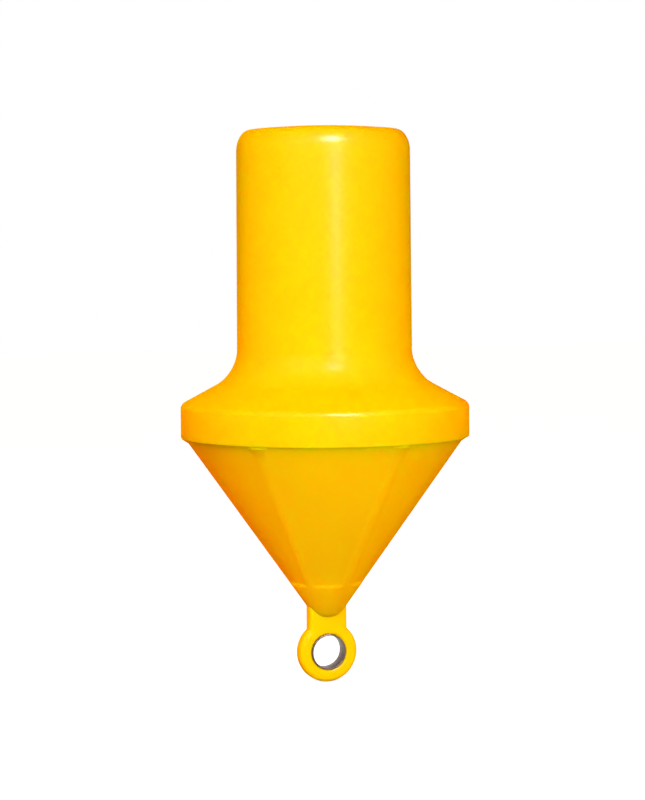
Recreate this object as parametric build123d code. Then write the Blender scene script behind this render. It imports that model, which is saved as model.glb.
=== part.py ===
from build123d import *
from math import cos, radians, sin, sqrt, tan
import os

# Marker buoy afloat: a drum-shaped mark on a double-cone float, with a mooring eye below.
# Millimetres, +Z up, origin on the axis at the waterline, half way up the float's band.
# The eye's bore runs along Y.

# Band, the widest part of the float
band_diameter = 800.0
band_height = 90.0
band_top_round = 18.0
band_foot_break = 3.0
lip_width = 8.0  # how far the band overhangs the cone below it

# Shoulder and drum-shaped mark above the band
shoulder_slope = 28.3  # degrees from level
mark_diameter = 481.5
mark_height = 750.0  # band's upper corner to the rim of the mark's top
mark_foot_round = 110.0
mark_top_round = 60.0
top_rise = 13.0  # the top slopes up to its middle, so that water runs off

# Cone below the band
cone_half_angle = 35.3
rib_count = 6
rib_turn = 13.0  # first rib, degrees past the eye's bore axis
rib_radius_top = 66.0  # of a rib's rounded crest
rib_radius_foot = 24.0
panel_depth_top = 10.0  # deepest, half way between two ribs
panel_depth_foot = 7.0
panel_foot_radius = 106.0  # cone's radius where the panels end
panel_axis_shift = 80.0  # a panel is this much flatter than the cone
tongue_radius = 40.0  # rounded end of a rib, where the band runs down onto it
tongue_drop = 6.0
tongue_inset = 2.0
tongue_foot_drop = 18.0

# Nose, the rounded tip of the cone
nose_radius = 60.0

# Mooring eye, a plate with a ring, and the tube through it
eye_thickness = 42.0
eye_outer_radius = 85.0
eye_below_nose = 94.2  # ring's centre under the nose's lowest point
neck_width = 111.0
neck_corner_round = 4.0
eye_edge_break = 6.0
eye_bore_edge_break = 5.0
tang_depth = 110.0  # how far the neck runs up into the nose
tang_clearance = 0.3
tube_outer_diameter = 100.0
tube_wall = 4.0
tube_stand_out = 1.0  # past each face of the eye
tube_clearance = 0.2

# Plug of the filling hole in the mark's top
plug_diameter = 60.0
plug_thickness = 14.0
plug_clearance = 0.4

# Places that follow from these sizes
band_radius = band_diameter / 2
band_top = band_height / 2
band_foot = -band_height / 2
mark_radius = mark_diameter / 2
shoulder_top = band_top + (band_radius - mark_radius) * tan(radians(shoulder_slope))
rim_height = band_top + mark_height
top_height = rim_height + top_rise
cone_top_radius = band_radius - lip_width
cone_spread = tan(radians(cone_half_angle))
nose_edge_radius = nose_radius * cos(radians(cone_half_angle))
nose_edge = band_foot - (cone_top_radius - nose_edge_radius) / cone_spread
nose_foot = nose_edge - nose_radius * (1 - sin(radians(cone_half_angle)))
panel_foot = band_foot - (cone_top_radius - panel_foot_radius) / cone_spread
pitch = 360.0 / rib_count
eye_centre = nose_foot - eye_below_nose
tang_top = nose_foot + tang_depth
cut_margin = 40.0  # cutters reach this much past what they cut


def cone_radius(height):
    return cone_top_radius - (band_foot - height) * cone_spread


def turned_float():
    corners = {
        "mark_rim": (mark_radius, rim_height),
        "mark_foot": (mark_radius, shoulder_top),
        "band_top": (band_radius, band_top),
        "band_foot": (band_radius, band_foot),
        "cone_top": (cone_top_radius, band_foot),
        "nose_edge": (nose_edge_radius, nose_edge),
    }
    rounds = {
        "mark_rim": mark_top_round,
        "mark_foot": mark_foot_round,
        "band_top": band_top_round,
    }
    with BuildPart() as turned:
        with BuildSketch(Plane.XZ) as half:
            with BuildLine():
                Polyline((0, nose_foot), (0, top_height), *corners.values())
                RadiusArc(corners["nose_edge"], (0, nose_foot), nose_radius)
            make_face()
            for name, radius in rounds.items():
                corner = half.vertices().sort_by_distance(corners[name])[0]
                fillet(corner, radius)
            chamfer(half.vertices().sort_by_distance(corners["band_foot"])[0], band_foot_break)
        revolve(axis=Axis.Z)
    return turned.part


def panel_cutter():
    # outside of a cone set off the float's axis, up to the middle of the rib on either side
    top_radius = cone_top_radius - panel_depth_top + panel_axis_shift
    foot_radius = panel_foot_radius - panel_depth_foot + panel_axis_shift
    far = band_radius + panel_axis_shift + cut_margin
    side = band_radius * tan(radians(pitch / 2))
    with BuildPart() as outside:
        with BuildSketch(Plane.XZ):
            Polygon(
                (top_radius, band_foot),
                (far, band_foot),
                (far, panel_foot),
                (foot_radius, panel_foot),
                align=None,
            )
        revolve(axis=Axis.Z)
    outside = Pos(-panel_axis_shift, 0, 0) * outside.part
    with BuildPart() as between_ribs:
        with BuildSketch(Plane.XY.offset(panel_foot)):
            Polygon((0, 0), (band_radius, -side), (band_radius, side), align=None)
        extrude(amount=band_foot - panel_foot)
    return outside & between_ribs.part


def crest_circle(height, reach, radius):
    # level circle that touches a rib's crest from within
    return Plane.XY.offset(height) * Pos(reach - radius, 0) * Circle(radius)


def rib():
    # a tapering round rod sunk into the cone, with the band's edge run down onto its end
    tongue_foot = band_foot - tongue_foot_drop
    share = tongue_foot_drop / (band_foot - panel_foot)
    radius = rib_radius_top + (rib_radius_foot - rib_radius_top) * share
    tongue_reach = band_radius - tongue_inset
    below_tongue = crest_circle(tongue_foot, cone_radius(tongue_foot), radius)
    rod = loft([below_tongue, crest_circle(panel_foot, panel_foot_radius, rib_radius_foot)], ruled=True)
    tongue = loft(
        [
            crest_circle(band_foot, tongue_reach, tongue_radius),
            crest_circle(band_foot - tongue_drop, tongue_reach, tongue_radius),
            below_tongue,
        ],
        ruled=True,
    )
    return rod + tongue


def neck_block(clearance):
    length = tang_top - eye_centre + clearance
    block = Pos(0, 0, tang_top + clearance - length / 2) * Box(
        neck_width + 2 * clearance, eye_thickness + 2 * clearance, length
    )
    return chamfer(block.edges().filter_by(Axis.Z), eye_edge_break)


def float_body():
    body = turned_float()
    first_panel = rib_turn - 90 + pitch / 2
    for k in range(rib_count):
        body -= Rot(0, 0, first_panel + k * pitch) * panel_cutter()
    for k in range(rib_count):
        body += Rot(0, 0, rib_turn - 90 + k * pitch) * rib()
    body -= neck_block(tang_clearance)
    hole_radius = plug_diameter / 2 + plug_clearance
    return body - Pos(0, 0, top_height - plug_thickness / 2) * Cylinder(hole_radius, plug_thickness)


def mooring_eye():
    with BuildPart() as eye:
        with BuildSketch(Plane.XZ) as outline:
            with Locations((0, eye_centre)):
                Circle(eye_outer_radius)
            with Locations((0, (tang_top + eye_centre) / 2)):
                Rectangle(neck_width, tang_top - eye_centre)
            corners = [v for v in outline.vertices() if eye_centre < v.Y < nose_foot]
            fillet(corners, neck_corner_round)
        extrude(amount=eye_thickness / 2, both=True)
        outer_edges = eye.faces().filter_by(Axis.Y).edges()
        chamfer(outer_edges.filter_by(lambda e: e.center().Z < tang_top - eye_edge_break), eye_edge_break)
        with Locations(Location((0, 0, eye_centre), (90, 0, 0))):
            Cylinder(tube_outer_diameter / 2 + tube_clearance, eye_thickness, mode=Mode.SUBTRACT)
        chamfer(eye.edges(Select.LAST).filter_by(GeomType.CIRCLE), eye_bore_edge_break)
    return eye.part


def eye_tube():
    length = eye_thickness + 2 * tube_stand_out
    radius = tube_outer_diameter / 2
    tube = Cylinder(radius, length) - Cylinder(radius - tube_wall, length)
    return Location((0, 0, eye_centre), (90, 0, 0)) * tube


def filling_plug():
    return Pos(0, 0, top_height - plug_thickness / 2) * Cylinder(plug_diameter / 2, plug_thickness)


pieces = {
    "float_body": float_body,
    "mooring_eye": mooring_eye,
    "eye_tube": eye_tube,
    "filling_plug": filling_plug,
}

os.makedirs("parts", exist_ok=True)
for name, make in pieces.items():
    export_step(make(), f"parts/{name}.step")
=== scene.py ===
from math import acos, atan2, cos, pi, radians, sin, sqrt, tan

import bpy
from mathutils import Matrix, Vector


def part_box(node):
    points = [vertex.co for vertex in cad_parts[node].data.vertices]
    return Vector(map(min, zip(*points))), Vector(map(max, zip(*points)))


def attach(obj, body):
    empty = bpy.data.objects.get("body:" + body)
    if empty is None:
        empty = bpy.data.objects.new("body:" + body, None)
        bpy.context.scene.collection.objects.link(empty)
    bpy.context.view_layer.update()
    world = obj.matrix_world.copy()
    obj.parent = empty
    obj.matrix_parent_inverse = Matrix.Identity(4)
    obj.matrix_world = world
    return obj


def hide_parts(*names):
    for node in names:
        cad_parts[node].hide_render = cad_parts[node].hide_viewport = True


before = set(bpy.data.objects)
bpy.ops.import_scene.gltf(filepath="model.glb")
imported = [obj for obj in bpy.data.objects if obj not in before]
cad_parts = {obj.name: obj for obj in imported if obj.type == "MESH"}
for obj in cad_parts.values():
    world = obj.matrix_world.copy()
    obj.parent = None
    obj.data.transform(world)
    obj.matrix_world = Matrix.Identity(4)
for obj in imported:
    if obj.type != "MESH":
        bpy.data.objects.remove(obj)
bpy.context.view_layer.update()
print("frame loaded:", ", ".join(sorted(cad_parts)))

eyeLow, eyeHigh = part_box("mooring_eye")
tubeLow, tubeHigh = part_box("eye_tube")
plugLow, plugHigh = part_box("filling_plug")


# small helpers for work in edit mode

slack = {
    "merge": 2e-5,  # points closer than this become one, in metres
    "place": 1e-4,  # a point this near to a place is the one that was meant
    "size": 1e-5,  # when heights, radii and widths are compared
    "level": 1e-6,  # when both ends of an edge have to lie in one plane
    "inside": 5e-5,  # a point this far inside the band's lip belongs to the cone
}
seedSize = 0.01  # of a plane that is merged to one point, so any size does
roundProfile = 0.5  # bevels as arcs of a circle


def clearSelection():
    if bpy.context.object and bpy.context.object.mode == "EDIT":
        bpy.ops.object.mode_set(mode="OBJECT")
    bpy.ops.object.select_all(action="DESELECT")


def startMesh(name, points):
    # a new object that holds one chain of points, drawn by extruding a first vertex
    clearSelection()
    bpy.ops.mesh.primitive_plane_add(size=seedSize)
    piece = bpy.context.object
    piece.name = name
    bpy.ops.object.mode_set(mode="EDIT")
    bpy.ops.mesh.select_all(action="SELECT")
    bpy.ops.mesh.merge(type="CENTER")
    bpy.ops.transform.translate(value=points[0])
    for here, after in zip(points, points[1:]):
        bpy.ops.mesh.extrude_region_move(TRANSFORM_OT_translate={"value": Vector(after) - Vector(here)})
    return piece


def pick(piece, test, kind="VERT"):
    # selects only what passes the test, which gets a vertex's place, an edge's two ends,
    # or a face's middle and normal
    bpy.ops.object.mode_set(mode="EDIT")
    bpy.ops.mesh.select_mode(type=kind)
    bpy.ops.mesh.select_all(action="DESELECT")
    bpy.ops.object.mode_set(mode="OBJECT")
    mesh = piece.data
    if kind == "VERT":
        for vertex in mesh.vertices:
            vertex.select = test(vertex.co)
    elif kind == "EDGE":
        for edge in mesh.edges:
            first, second = (mesh.vertices[i].co for i in edge.vertices)
            edge.select = test(first, second)
    else:
        for face in mesh.polygons:
            face.select = test(face.center, face.normal)
    bpy.ops.object.mode_set(mode="EDIT")


def near(point, place):
    return (Vector(point) - Vector(place)).length < slack["place"]


def fromBoreAxis(point, axisHeight):
    # how far a point lies from the middle of the eye's bore
    return Vector((point.x, point.z - axisHeight)).length


def spinRound(piece, steps, isCopied=False):
    # turns all of a piece about the buoy's axis, or copies it round, and closes the seam
    pick(piece, lambda co: True)
    bpy.ops.mesh.spin(steps=steps, angle=2 * pi, dupli=isCopied, center=(0, 0, 0), axis=(0, 0, 1))
    pick(piece, lambda co: True)
    bpy.ops.mesh.remove_doubles(threshold=slack["merge"])
    bpy.ops.object.mode_set(mode="OBJECT")


def cleanUp(piece, sharpFrom):
    # closes seams, turns all faces outwards and smooths all but edges sharper than this, in degrees
    bpy.ops.object.mode_set(mode="EDIT")
    bpy.ops.mesh.select_mode(type="VERT")
    bpy.ops.mesh.select_all(action="SELECT")
    bpy.ops.mesh.remove_doubles(threshold=slack["merge"])
    bpy.ops.mesh.normals_make_consistent(inside=False)
    bpy.ops.object.mode_set(mode="OBJECT")
    bpy.ops.object.shade_smooth_by_angle(angle=radians(sharpFrom))
    print(piece.name, "has", len(piece.data.polygons), "faces")


# camera, as the photograph was taken

cameraView = {
    "turn": -19.0,  # degrees round from the eye's bore
    "distance": 6.2,
    "height": 0.4686,
    "aimTurn": 0.061,
    "tiltDown": 3.829,
    "roll": -0.43,
    "lens": 100.81,
    "sensor": 36.0,
    "clipEnd": 60.0,
}

bpy.ops.object.camera_add()
camera = bpy.context.object
camera.name = "photoCamera"
turn = radians(cameraView["turn"])
camera.matrix_world = (
    Matrix.Translation((
        sin(turn) * cameraView["distance"],
        -cos(turn) * cameraView["distance"],
        cameraView["height"],
    ))
    @ Matrix.Rotation(turn + radians(cameraView["aimTurn"]), 4, "Z")
    @ Matrix.Rotation(radians(90 - cameraView["tiltDown"]), 4, "X")
    @ Matrix.Rotation(radians(cameraView["roll"]), 4, "Z")
)
camera.data.lens = cameraView["lens"]
camera.data.sensor_width = cameraView["sensor"]
camera.data.clip_end = cameraView["clipEnd"]
bpy.context.scene.camera = camera


# light

lighting = {
    "ambient": 0.8,
    "ambientColour": (1.0, 0.42, 0.24, 1),
    "studio": 1.0,  # the white that the camera and the skin's gloss see
    "studioColour": (1, 1, 1, 1),
    "openBeam": 180.0,  # degrees, for a lamp with no beam of its own
    "lampColour": (1.0, 1.0, 1.0),
}
keyStrip = {
    "side": 12.0,  # degrees to the right of the camera
    "distance": 3.6,
    "height": 0.3,
    "width": 0.5,
    "length": 2.0,
    "power": 120.0,
    "aimHeight": 0.6,
}
fillBox = {
    "side": -32.0,
    "distance": 3.4,
    "height": 2.1,
    "width": 2.4,
    "length": 2.4,
    "power": 74.0,
    "aimHeight": 0.0,
}
streakLamp = {
    "side": 16.0,
    "distance": 3.5,
    "height": 0.95,
    "width": 0.4,
    "length": 1.4,
    "power": 130.0,
    "aimHeight": 0.6,
}
rimLamp = {
    "side": 12.5,
    "distance": 2.6,
    "height": 2.4,
    "width": 0.6,
    "length": 0.5,
    "power": 48.0,
    "aimHeight": 1.1,
    "beam": 32.0,  # degrees wide, so that it reaches little below the rim
}
warmLeft = {
    "side": -98.0,
    "distance": 3.0,
    "height": -0.3,
    "width": 0.8,
    "length": 0.6,
    "power": 1.7,
    "aimHeight": -0.3,
    "beam": 30.0,
    "colour": (1.0, 0.12, 0.0),
}
warmRight = {
    **warmLeft,
    "side": 100.0,
    "power": 1.1,
}
edgeLamp = {
    "side": 14.0,
    "distance": 2.0,
    "height": 1.5,
    "width": 0.3,
    "length": 0.2,
    "power": 5.0,
    "aimHeight": -0.53,
    "beam": 16.0,
}


def addSoftbox(name, plan, isLight=True, isShine=True):
    around = turn + radians(plan["side"])
    place = Vector((sin(around) * plan["distance"], -cos(around) * plan["distance"], plan["height"]))
    bpy.ops.object.light_add(type="AREA", location=place)
    lamp = bpy.context.object
    lamp.name = name
    lamp.data.shape = "RECTANGLE"
    lamp.data.size = plan["width"]
    lamp.data.size_y = plan["length"]
    lamp.data.energy = plan["power"]
    lamp.data.spread = radians(plan.get("beam", lighting["openBeam"]))
    lamp.data.color = plan.get("colour", lighting["lampColour"])
    lamp.rotation_euler = (Vector((0, 0, plan["aimHeight"])) - place).to_track_quat("-Z", "Y").to_euler()
    lamp.visible_diffuse = isLight
    lamp.visible_glossy = isShine


# key, fill and the warm reflectors light the buoy, and fill shines in its skin too
# the others only shine
addSoftbox("keyStrip", keyStrip, isShine=False)
addSoftbox("fillBox", fillBox)
addSoftbox("warmLeft", warmLeft, isShine=False)
addSoftbox("warmRight", warmRight, isShine=False)
addSoftbox("streakLamp", streakLamp, isLight=False)
addSoftbox("rimLamp", rimLamp, isLight=False)
addSoftbox("edgeLamp", edgeLamp, isLight=False)


def seenRay(nodes, links):
    # 1 for what the camera, glass and shiny skins see, 0 for light on the object
    rays = nodes.new("ShaderNodeLightPath")
    seen = rays.outputs["Is Camera Ray"]
    for kind in ("Is Glossy Ray", "Is Transmission Ray"):
        either = nodes.new("ShaderNodeMath")
        either.operation = "MAXIMUM"
        links.new(seen, either.inputs[0])
        links.new(rays.outputs[kind], either.inputs[1])
        seen = either.outputs[0]
    return seen


world = bpy.data.worlds.new("studio")
bpy.context.scene.world = world
world.use_nodes = True
worldNodes = world.node_tree.nodes
worldLinks = world.node_tree.links
worldNodes.clear()
ambient = worldNodes.new("ShaderNodeBackground")
ambient.inputs["Color"].default_value = lighting["ambientColour"]
ambient.inputs["Strength"].default_value = lighting["ambient"]
white = worldNodes.new("ShaderNodeBackground")
white.inputs["Color"].default_value = lighting["studioColour"]
white.inputs["Strength"].default_value = lighting["studio"]
worldMix = worldNodes.new("ShaderNodeMixShader")
worldOut = worldNodes.new("ShaderNodeOutputWorld")
worldLinks.new(seenRay(worldNodes, worldLinks), worldMix.inputs[0])
worldLinks.new(ambient.outputs[0], worldMix.inputs[1])
worldLinks.new(white.outputs[0], worldMix.inputs[2])
worldLinks.new(worldMix.outputs[0], worldOut.inputs[0])
bpy.context.scene.view_settings.view_transform = "Standard"
print("camera and light set")


# floor

floorPlan = {
    "size": 40.0,
    "gap": 0.0005,  # under the eye
    "colour": (0.45, 0.8, 0.95, 1),
    "bounce": (0.24, 0.17, 0.05, 1),  # what it throws back on the buoy
    "lift": 0.8,  # its own glow, which whitens it
}

clearSelection()
bpy.ops.mesh.primitive_plane_add(size=floorPlan["size"], location=(0, 0, eyeLow.z - floorPlan["gap"]))
studioFloor = bpy.context.object
studioFloor.name = "studioFloor"
floorMaterial = bpy.data.materials.new("paleFloor")
floorMaterial.use_nodes = True
floorNodes = floorMaterial.node_tree.nodes
floorLinks = floorMaterial.node_tree.links
floorNodes.clear()
floorDiffuse = floorNodes.new("ShaderNodeBsdfDiffuse")
floorDiffuse.inputs["Color"].default_value = floorPlan["colour"]
floorBounce = floorNodes.new("ShaderNodeBsdfDiffuse")
floorBounce.inputs["Color"].default_value = floorPlan["bounce"]
floorGlow = floorNodes.new("ShaderNodeEmission")
floorGlow.inputs["Strength"].default_value = floorPlan["lift"]
floorSum = floorNodes.new("ShaderNodeAddShader")
floorMix = floorNodes.new("ShaderNodeMixShader")
floorOut = floorNodes.new("ShaderNodeOutputMaterial")
floorLinks.new(floorDiffuse.outputs[0], floorSum.inputs[0])
floorLinks.new(floorGlow.outputs[0], floorSum.inputs[1])
floorLinks.new(seenRay(floorNodes, floorLinks), floorMix.inputs[0])
floorLinks.new(floorBounce.outputs[0], floorMix.inputs[1])
floorLinks.new(floorSum.outputs[0], floorMix.inputs[2])
floorLinks.new(floorMix.outputs[0], floorOut.inputs[0])
studioFloor.data.materials.append(floorMaterial)
print("floor laid")


# materials

yellowSkin = {
    "colour": (0.77, 0.5, 0.0, 1),
    "roughness": 0.3,
    "gloss": 0.04,
    "glossFullTo": 0.2,  # how far a face may turn away before its gloss fades, 1 is edge-on
    "glossGoneBy": 0.5,
    "facingBlend": 0.5,
    "scatter": 0.8,
    "scatterRadius": (1.0, 0.1, 0.015),
    "scatterScale": 0.1,
    "cloudSize": 7.0,
    "cloudDetail": 4.0,
    "cloudLow": 0.3,  # noise between these two makes the clouds
    "cloudHigh": 0.7,
    "cloudDepth": 0.015,
    "peelSize": 260.0,
    "peelDetail": 2.0,
    "peelDepth": 0.05,
    "peelRelief": 0.001,
    "waveSize": 9.0,
    "waveDetail": 1.0,
    "waveDepth": 0.12,
    "waveRelief": 0.01,
}


def startMaterial(name):
    material = bpy.data.materials.new(name)
    material.use_nodes = True
    nodes = material.node_tree.nodes
    return material, nodes, material.node_tree.links, nodes["Principled BSDF"]


def addNoise(nodes, links, place, look, kind):
    # noise of the size and detail that the look gives for clouds, waves or peel
    noise = nodes.new("ShaderNodeTexNoise")
    noise.inputs["Scale"].default_value = look[kind + "Size"]
    noise.inputs["Detail"].default_value = look[kind + "Detail"]
    links.new(place.outputs["Object"], noise.inputs["Vector"])
    return noise


def addBump(nodes, links, place, look, kind):
    noise = addNoise(nodes, links, place, look, kind)
    bump = nodes.new("ShaderNodeBump")
    bump.inputs["Strength"].default_value = look[kind + "Depth"]
    bump.inputs["Distance"].default_value = look[kind + "Relief"]
    links.new(noise.outputs["Fac"], bump.inputs["Height"])
    return bump


def mouldedPlastic(name, look):
    material, nodes, links, shader = startMaterial(name)
    shader.inputs["Roughness"].default_value = look["roughness"]
    shader.inputs["Subsurface Weight"].default_value = look["scatter"]
    shader.inputs["Subsurface Radius"].default_value = look["scatterRadius"]
    shader.inputs["Subsurface Scale"].default_value = look["scatterScale"]
    place = nodes.new("ShaderNodeTexCoord")

    # gloss that fades towards the outline, where it would mirror the white studio
    turned = nodes.new("ShaderNodeLayerWeight")
    turned.inputs["Blend"].default_value = look["facingBlend"]
    gloss = nodes.new("ShaderNodeMapRange")
    gloss.inputs["From Min"].default_value = look["glossFullTo"]
    gloss.inputs["From Max"].default_value = look["glossGoneBy"]
    gloss.inputs["To Min"].default_value = look["gloss"]
    gloss.inputs["To Max"].default_value = 0.0
    links.new(turned.outputs["Facing"], gloss.inputs["Value"])
    links.new(gloss.outputs["Result"], shader.inputs["Specular IOR Level"])

    # slight clouding of the pigment
    cloud = addNoise(nodes, links, place, look, "cloud")
    tint = nodes.new("ShaderNodeMapRange")
    tint.inputs["From Min"].default_value = look["cloudLow"]
    tint.inputs["From Max"].default_value = look["cloudHigh"]
    tint.inputs["To Min"].default_value = 1 - look["cloudDepth"]
    tint.inputs["To Max"].default_value = 1 + look["cloudDepth"]
    links.new(cloud.outputs["Fac"], tint.inputs["Value"])
    shade = nodes.new("ShaderNodeHueSaturation")
    shade.inputs["Color"].default_value = look["colour"]
    links.new(tint.outputs["Result"], shade.inputs["Value"])
    links.new(shade.outputs["Color"], shader.inputs["Base Color"])

    # long waves of a wall that shrank as it cooled, then the fine orange peel of the mould
    waveBump = addBump(nodes, links, place, look, "wave")
    peelBump = addBump(nodes, links, place, look, "peel")
    links.new(waveBump.outputs["Normal"], peelBump.inputs["Normal"])
    links.new(peelBump.outputs["Normal"], shader.inputs["Normal"])
    return material


# the steel's dark brown tones are painted shade and a painted reflection of the yellow plastic round the
# bore, laid over the zinc spangle's random patches
steelSkinPaintedShade = {
    "paintedShadeDarkSpangle": (0.05, 0.028, 0.023, 1),
    "paintedShadeLightSpangle": (0.16, 0.1, 0.08, 1),
    "spangleSize": 120.0,
    "smoothest": 0.28,
    "dullest": 0.5,
}


def galvanisedSteel(name, look):
    material, nodes, links, shader = startMaterial(name)
    shader.inputs["Metallic"].default_value = 1.0
    place = nodes.new("ShaderNodeTexCoord")

    # zinc spangle, in patches a few millimetres wide, in two tones darkened to dark brown by painted shade
    # and a painted reflection of the yellow plastic round the bore
    spangle = nodes.new("ShaderNodeTexVoronoi")
    spangle.inputs["Scale"].default_value = look["spangleSize"]
    links.new(place.outputs["Object"], spangle.inputs["Vector"])
    spangleAndShade = nodes.new("ShaderNodeValToRGB")
    spangleAndShade.color_ramp.elements[0].color = look["paintedShadeDarkSpangle"]
    spangleAndShade.color_ramp.elements[1].color = look["paintedShadeLightSpangle"]
    links.new(spangle.outputs["Color"], spangleAndShade.inputs["Fac"])
    links.new(spangleAndShade.outputs["Color"], shader.inputs["Base Color"])
    dull = nodes.new("ShaderNodeMapRange")
    dull.inputs["To Min"].default_value = look["smoothest"]
    dull.inputs["To Max"].default_value = look["dullest"]
    links.new(spangle.outputs["Distance"], dull.inputs["Value"])
    links.new(dull.outputs["Result"], shader.inputs["Roughness"])
    return material


# the eye is a separate moulding whose paler colour is painted light, making up for light that falls short on
# it low under the cone, and the plug is duller
eyeSkinPaintedLight = {**yellowSkin, "colour": (0.84, 0.57, 0.0, 1), "scatter": 0.25}
plugSkin = {**yellowSkin, "colour": (0.75, 0.47, 0.0, 1), "roughness": 0.5}
mouldedYellow = mouldedPlastic("mouldedYellow", yellowSkin)
eyeYellowPaintedLight = mouldedPlastic("eyeYellowPaintedLight", eyeSkinPaintedLight)
plugYellow = mouldedPlastic("plugYellow", plugSkin)
steelWithPaintedShade = galvanisedSteel("galvanisedSteel", steelSkinPaintedShade)
print("materials ready")


# float body
# metres and degrees, heights from the waterline and radii from the buoy's axis

floatShape = {
    "bandRadius": 0.3998,
    "bandTop": 0.045,
    "bandTopRound": 0.018,
    "bandTopSteps": 8,
    "bandFoot": -0.045,
    "bandFootRound": 0.001,
    "bandFootSteps": 3,
    "lipWidth": 0.0001,  # level ring inside the band's rounded foot
    "shoulderSlope": 28.3,
    "markFootRadius": 0.2425,
    "markTopRadius": 0.239,
    "markFootRound": 0.110,
    "markTopRound": 0.060,
    "rimHeight": 0.795,
    "crown": 0.013,
    "crownSteps": 6,
    "roundSteps": 12,
    "longRun": 0.12,  # straight runs longer than this are cut into rows
    "runCuts": 9,
    "plugHole": 0.0304,
    "holeRound": 0.0015,
    "holeSteps": 3,
    "coneTopRadius": 0.392,
    "coneHalfAngle": 35.3,
    "ribCount": 6,
    "ribTurn": 13.0,  # degrees past the eye's bore
    "ribRadiusTop": 0.066,
    "ribRadiusFoot": 0.024,
    "ribBlend": 0.040,
    "ribCuts": 11,  # rows between a tongue's foot and the panels' foot
    "crestSteps": 4,
    "blendSteps": 4,
    "panelSteps": 10,
    "panelDepthTop": 0.010,
    "panelDepthFoot": 0.007,
    "panelShift": 0.080,
    "panelFootRadius": 0.106,
    "panelFootDrop": 0.009,
    "panelFootRound": 0.0016,
    "panelFootSteps": 3,
    "tongueReach": 0.398,
    "tongueRadius": 0.040,
    "tongueBlend": 0.006,
    "tongueFace": [(0.0, 0.0), (0.0045, 0.0), (0.0070, 0.0010)],  # drop below the band, inset
    "tongueFoot": 0.018,
    "noseRadius": 0.060,
    "noseSteps": 12,
    "sharpFrom": 31,
}


def roundCorners(piece, corners):
    # rounds named corners of a chain of edges by bevelling their vertices
    for place, before, after, radius, steps in corners:
        toBefore = (Vector(before) - Vector(place)).normalized()
        toAfter = (Vector(after) - Vector(place)).normalized()
        turning = pi - toBefore.angle(toAfter)
        pick(piece, lambda co: near(co, place))
        cut = radius * tan(turning / 2)
        bpy.ops.mesh.bevel(offset=cut, segments=steps, affect="VERTICES", profile=roundProfile)


def lipRadius(s):
    # inner edge of the level ring at the band's foot
    return s["bandRadius"] - s["bandFootRound"] - s["lipWidth"]


def coneRadiusAt(s, height):
    return s["coneTopRadius"] - (s["bandFoot"] - height) * tan(radians(s["coneHalfAngle"]))


def panelFootHeight(s):
    return s["bandFoot"] - (s["coneTopRadius"] - s["panelFootRadius"]) / tan(radians(s["coneHalfAngle"]))


def buildUpperBody(name, s, stepsRound):
    spread = tan(radians(s["shoulderSlope"]))
    shoulderTop = s["bandTop"] + (s["bandRadius"] - s["markFootRadius"]) * spread
    domeRadius = (s["markTopRadius"] ** 2 + s["crown"] ** 2) / (2 * s["crown"])

    def crownAt(radius):
        return s["rimHeight"] + s["crown"] - domeRadius + sqrt(domeRadius ** 2 - radius ** 2)

    crownPlaces = []
    for step in range(s["crownSteps"]):
        radius = s["plugHole"] + (s["markTopRadius"] - s["plugHole"]) * step / s["crownSteps"]
        crownPlaces.append((radius, 0, crownAt(radius)))
    holeFoot = (s["plugHole"], 0, plugLow.z)
    rim = (s["markTopRadius"], 0, s["rimHeight"])
    markFoot = (s["markFootRadius"], 0, shoulderTop)
    bandTop = (s["bandRadius"], 0, s["bandTop"])
    bandFoot = (s["bandRadius"], 0, s["bandFoot"])
    lipInside = (lipRadius(s), 0, s["bandFoot"])
    holeMiddle = (0, 0, plugLow.z)
    chain = [holeMiddle, holeFoot, *crownPlaces, rim, markFoot, bandTop, bandFoot, lipInside]
    piece = startMesh(name, chain)
    roundCorners(piece, [
        (crownPlaces[0], holeFoot, crownPlaces[1], s["holeRound"], s["holeSteps"]),
        (rim, crownPlaces[-1], markFoot, s["markTopRound"], s["roundSteps"]),
        (markFoot, rim, bandTop, s["markFootRound"], s["roundSteps"]),
        (bandTop, markFoot, bandFoot, s["bandTopRound"], s["bandTopSteps"]),
        (bandFoot, bandTop, lipInside, s["bandFootRound"], s["bandFootSteps"]),
    ])
    # straight runs get rows of their own, so that the mesh stays even
    pick(piece, lambda a, b: (a - b).length > s["longRun"], "EDGE")
    bpy.ops.mesh.subdivide(number_cuts=s["runCuts"])
    spinRound(piece, stepsRound)
    return piece


def placeOnRib(s, along, across, height):
    # a point given along and across a rib, turned to where the first rib stands
    around = radians(s["ribTurn"] - 90)
    x = along * cos(around) - across * sin(around)
    y = along * sin(around) + across * cos(around)
    return (x, y, height)


def arc(centre, radius, start, end, steps):
    # points along an arc, without its last one
    angles = [start + (end - start) * step / steps for step in range(steps)]
    return [centre + Vector((cos(a), sin(a))) * radius for a in angles]


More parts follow.
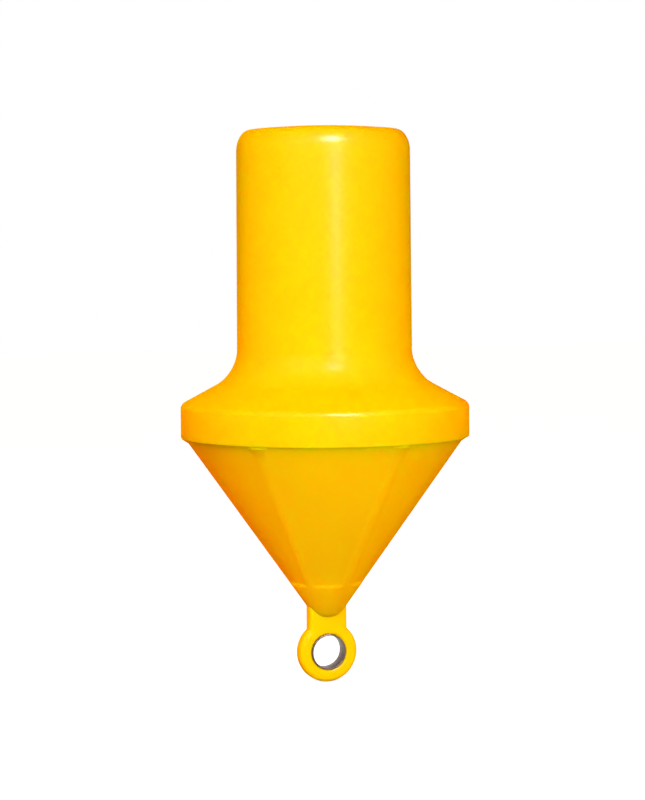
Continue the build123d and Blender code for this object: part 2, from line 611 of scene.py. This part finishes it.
def ribbedSection(name, s, height, reach, crestRadius, blend):
    # level outline of the cone from one rib's middle to the next, then copied round
    share = (s["bandFoot"] - height) / (s["bandFoot"] - panelFootHeight(s))
    depth = s["panelDepthTop"] + (s["panelDepthFoot"] - s["panelDepthTop"]) * share
    half = pi / s["ribCount"]
    panelRadius = coneRadiusAt(s, height) - depth + s["panelShift"]
    panelMiddle = Vector((cos(half), sin(half))) * -s["panelShift"]
    crestMiddle = Vector((reach - crestRadius, 0))

    # the hollow between them is round too, and touches both the crest's circle and the panel's
    apart = crestMiddle - panelMiddle
    fromPanel = panelRadius + blend
    along = (fromPanel ** 2 - (crestRadius + blend) ** 2 + apart.length_squared) / (2 * apart.length)
    aside = sqrt(fromPanel ** 2 - along ** 2)
    blendMiddle = panelMiddle + apart.normalized() * along + apart.orthogonal().normalized() * aside
    crestEnd = atan2(*reversed(blendMiddle - crestMiddle))
    panelStart = atan2(*reversed(blendMiddle - panelMiddle))
    outline = [
        *arc(crestMiddle, crestRadius, 0, crestEnd, s["crestSteps"]),
        *arc(blendMiddle, -blend, crestEnd, panelStart, s["blendSteps"]),
        *arc(panelMiddle, panelRadius, panelStart, half, s["panelSteps"]),
    ]
    middle = Vector((cos(half), sin(half)))
    mirrored = [2 * point.dot(middle) * middle - point for point in reversed(outline)]
    outline += [panelMiddle + middle * panelRadius, *mirrored]
    section = startMesh(name, [placeOnRib(s, point.x, point.y, height) for point in outline])
    spinRound(section, s["ribCount"], isCopied=True)
    return section


def buildNose(name, s, stepsRound):
    # the cone's tip, rounded by a ball that touches it
    slope = radians(s["coneHalfAngle"])
    edgeRadius = s["noseRadius"] * cos(slope)
    edgeHeight = s["bandFoot"] - (s["coneTopRadius"] - edgeRadius) / tan(slope)
    ballHeight = edgeHeight + s["noseRadius"] * sin(slope)
    top = panelFootHeight(s) - s["panelFootDrop"]
    ball = arc(Vector((0, ballHeight)), s["noseRadius"], -slope, -pi / 2, s["noseSteps"])
    tip = (0, 0, ballHeight - s["noseRadius"])
    nose = startMesh(name, [(coneRadiusAt(s, top), 0, top), *((point.x, 0, point.y) for point in ball), tip])
    spinRound(nose, stepsRound)
    return nose


def bridgeLoops(piece, isOnFirst, isOnSecond, cuts=0):
    pick(piece, lambda a, b: (isOnFirst(a) and isOnFirst(b)) or (isOnSecond(a) and isOnSecond(b)), "EDGE")
    bpy.ops.mesh.bridge_edge_loops(number_cuts=cuts, interpolation="LINEAR")


def buildFloat(s):
    foot = panelFootHeight(s)
    tongueFoot = s["bandFoot"] - s["tongueFoot"]
    share = (s["bandFoot"] - tongueFoot) / (s["bandFoot"] - foot)
    ribRadius = s["ribRadiusTop"] + (s["ribRadiusFoot"] - s["ribRadiusTop"]) * share
    levels = [
        (s["bandFoot"] - drop, s["tongueReach"] - inset, s["tongueRadius"], s["tongueBlend"])
        for drop, inset in s["tongueFace"]
    ]
    levels.append((tongueFoot, coneRadiusAt(s, tongueFoot), ribRadius, s["ribBlend"]))
    levels.append((foot, coneRadiusAt(s, foot), s["ribRadiusFoot"], s["ribBlend"]))
    sections = [ribbedSection(f"coneSection{i}", s, *level) for i, level in enumerate(levels)]
    stepsRound = len(sections[0].data.vertices)
    print("cone outline has", stepsRound, "points")
    upper = buildUpperBody("floatBody", s, stepsRound)
    nose = buildNose("nose", s, stepsRound)
    clearSelection()
    for part in [*sections, nose, upper]:
        part.select_set(True)
    bpy.context.view_layer.objects.active = upper
    bpy.ops.object.join()

    heights = [level[0] for level in levels] + [foot - s["panelFootDrop"]]
    footLevel = len(levels) - 1

    def onLip(co):
        return abs(co.z - s["bandFoot"]) < slack["size"] and co.xy.length > lipRadius(s) - slack["size"]

    def onLevel(i):
        reach = lipRadius(s) - slack["inside"]
        return lambda co: abs(co.z - heights[i]) < slack["size"] and co.xy.length < reach

    bridgeLoops(upper, onLip, onLevel(0))
    for i in range(footLevel - 1):
        bridgeLoops(upper, onLevel(i), onLevel(i + 1))
    bridgeLoops(upper, onLevel(footLevel - 1), onLevel(footLevel), s["ribCuts"])
    bridgeLoops(upper, onLevel(footLevel), onLevel(footLevel + 1))
    for i in (footLevel, footLevel + 1):
        pick(upper, lambda a, b: onLevel(i)(a) and onLevel(i)(b), "EDGE")
        bpy.ops.mesh.bevel(offset=s["panelFootRound"], segments=s["panelFootSteps"], affect="EDGES")
    cleanUp(upper, s["sharpFrom"])
    return upper


floatBody = buildFloat(floatShape)
floatBody.data.materials.clear()
floatBody.data.materials.append(mouldedYellow)
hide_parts("float_body")
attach(floatBody, "root")


# mooring eye

eyeShape = {
    "ringRadius": 0.085,
    "ringSteps": 64,
    "boreRadius": 0.0502,
    "neckHalfWidth": 0.0555,
    "neckSteps": 8,
    "cornerRound": 0.004,
    "cornerSteps": 3,
    "edgeRound": 0.014,
    "edgeSteps": 6,
    "boreRound": 0.007,
    "boreSteps": 5,
    "sharpFrom": 40,
}


def buildEye(s):
    thickness = eyeHigh.y - eyeLow.y
    half = thickness / 2
    middle = eyeLow.z + s["ringRadius"]
    side = s["neckHalfWidth"]
    opening = acos(side / s["ringRadius"])  # from level up to where the neck leaves the ring
    neckFoot = middle + s["ringRadius"] * sin(opening)
    steps = s["neckSteps"]
    rise = (eyeHigh.z - neckFoot) / steps

    # outline: round the ring's foot, up one side of the neck, across its top and down again
    ring = arc(Vector((0, middle)), s["ringRadius"], opening, -pi - opening, s["ringSteps"])
    ring.append(Vector((-side, neckFoot)))
    outline = list(ring)
    outline += [Vector((-side, neckFoot + rise * (step + 1))) for step in range(steps)]
    outline += [Vector((side * (2 * (step + 1) / steps - 1), eyeHigh.z)) for step in range(steps)]
    outline += [Vector((side, eyeHigh.z - rise * (step + 1))) for step in range(steps - 1)]
    chain = [(point.x, -half, point.y) for point in outline]
    eye = startMesh("mooringEye", chain)
    pick(eye, lambda co: near(co, chain[0]) or near(co, chain[-1]))
    bpy.ops.mesh.edge_face_add()
    turnAt = len(ring) - 1
    roundCorners(eye, [
        (chain[0], chain[-1], chain[1], s["cornerRound"], s["cornerSteps"]),
        (chain[turnAt], chain[turnAt - 1], chain[turnAt + 1], s["cornerRound"], s["cornerSteps"]),
    ])

    # flat face between the outline and the bore, then the plate's thickness
    bpy.ops.object.mode_set(mode="OBJECT")
    pointCount = len(eye.data.vertices)
    bpy.ops.object.mode_set(mode="EDIT")
    bpy.ops.mesh.primitive_circle_add(
        vertices=pointCount, radius=s["boreRadius"], location=(0, -half, middle), rotation=(pi / 2, 0, 0),
    )
    bpy.ops.mesh.select_all(action="SELECT")
    bpy.ops.mesh.bridge_edge_loops()
    bpy.ops.mesh.select_mode(type="FACE")
    bpy.ops.mesh.select_all(action="SELECT")
    bpy.ops.mesh.extrude_region_move(TRANSFORM_OT_translate={"value": (0, thickness, 0)})
    bpy.ops.mesh.select_all(action="SELECT")
    bpy.ops.mesh.normals_make_consistent(inside=False)

    def onFace(a, b):
        return abs(a.y - b.y) < slack["level"] and abs(abs(a.y) - half) < slack["level"]

    def onOutline(co):
        onRing = fromBoreAxis(co, middle) > s["ringRadius"] - slack["size"]
        return onRing or abs(co.x) > side - slack["size"]

    def isOuterEdge(a, b):
        belowTop = a.z + b.z < 2 * eyeHigh.z - slack["size"]
        return onFace(a, b) and onOutline(a) and onOutline(b) and belowTop

    def isBoreEdge(a, b):
        reach = s["boreRadius"] + slack["size"]
        return onFace(a, b) and fromBoreAxis(a, middle) < reach and fromBoreAxis(b, middle) < reach

    # soft outer edges, then the lip that turns in to the tube
    pick(eye, isOuterEdge, "EDGE")
    bpy.ops.mesh.bevel(offset=s["edgeRound"], segments=s["edgeSteps"], affect="EDGES")
    pick(eye, isBoreEdge, "EDGE")
    bpy.ops.mesh.bevel(offset=s["boreRound"], segments=s["boreSteps"], affect="EDGES")
    cleanUp(eye, s["sharpFrom"])
    return eye


mooringEye = buildEye(eyeShape)
mooringEye.data.materials.append(eyeYellowPaintedLight)
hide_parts("mooring_eye")
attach(mooringEye, "root")


# tube through the eye

tubeShape = {
    "radius": (tubeHigh.x - tubeLow.x) / 2,
    "wall": 0.004,
    "length": tubeHigh.y - tubeLow.y,
    "edgeBreak": 0.0007,
    "edgeSteps": 2,
    "points": 96,
    "sharpFrom": 40,
}


def buildTube(s):
    middle = (tubeLow.z + tubeHigh.z) / 2
    clearSelection()
    bpy.ops.mesh.primitive_cylinder_add(
        vertices=s["points"], radius=s["radius"], depth=s["length"], end_fill_type="NOTHING",
        location=(0, 0, middle), rotation=(pi / 2, 0, 0),
    )
    tube = bpy.context.object
    tube.name = "eyeTube"
    bpy.ops.object.transform_apply(location=True, rotation=True, scale=True)
    wall = tube.modifiers.new("wall", "SOLIDIFY")
    wall.thickness = s["wall"]
    wall.offset = -1
    wall.use_even_offset = True
    bpy.ops.object.modifier_apply(modifier="wall")

    def isEndEdge(a, b):
        # an edge that runs round an end, not one across the wall
        isRound = abs(fromBoreAxis(a, middle) - fromBoreAxis(b, middle)) < slack["size"]
        return abs(a.y - b.y) < slack["level"] and isRound

    pick(tube, isEndEdge, "EDGE")
    bpy.ops.mesh.bevel(offset=s["edgeBreak"], segments=s["edgeSteps"], affect="EDGES")
    cleanUp(tube, s["sharpFrom"])
    return tube


eyeTube = buildTube(tubeShape)
eyeTube.data.materials.append(steelWithPaintedShade)
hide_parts("eye_tube")
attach(eyeTube, "root")


# plug of the filling hole

plugShape = {
    "radius": (plugHigh.x - plugLow.x) / 2,
    "edgeRound": 0.0015,
    "edgeSteps": 4,
    "dishInset": 0.006,
    "dishDepth": 0.0012,
    "upward": 0.9,  # a face whose normal rises more than this is the top
    "points": 96,
    "sharpFrom": 40,
}


def buildPlug(s):
    clearSelection()
    bpy.ops.mesh.primitive_cylinder_add(
        vertices=s["points"], radius=s["radius"], depth=plugHigh.z - plugLow.z,
        location=(0, 0, (plugHigh.z + plugLow.z) / 2),
    )
    plug = bpy.context.object
    plug.name = "fillingPlug"
    bpy.ops.object.transform_apply(location=True, rotation=True, scale=True)
    pick(plug, lambda middle, normal: normal.z > s["upward"], "FACE")
    bpy.ops.mesh.inset(thickness=s["dishInset"])
    bpy.ops.mesh.extrude_region_move(TRANSFORM_OT_translate={"value": (0, 0, -s["dishDepth"])})

    def isRimEdge(a, b):
        atTop = min(a.z, b.z) > plugHigh.z - slack["size"]
        return atTop and min(a.xy.length, b.xy.length) > s["radius"] - slack["place"]

    pick(plug, isRimEdge, "EDGE")
    bpy.ops.mesh.bevel(offset=s["edgeRound"], segments=s["edgeSteps"], affect="EDGES")
    cleanUp(plug, s["sharpFrom"])
    return plug


fillingPlug = buildPlug(plugShape)
fillingPlug.data.materials.append(plugYellow)
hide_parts("filling_plug")
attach(fillingPlug, "root")
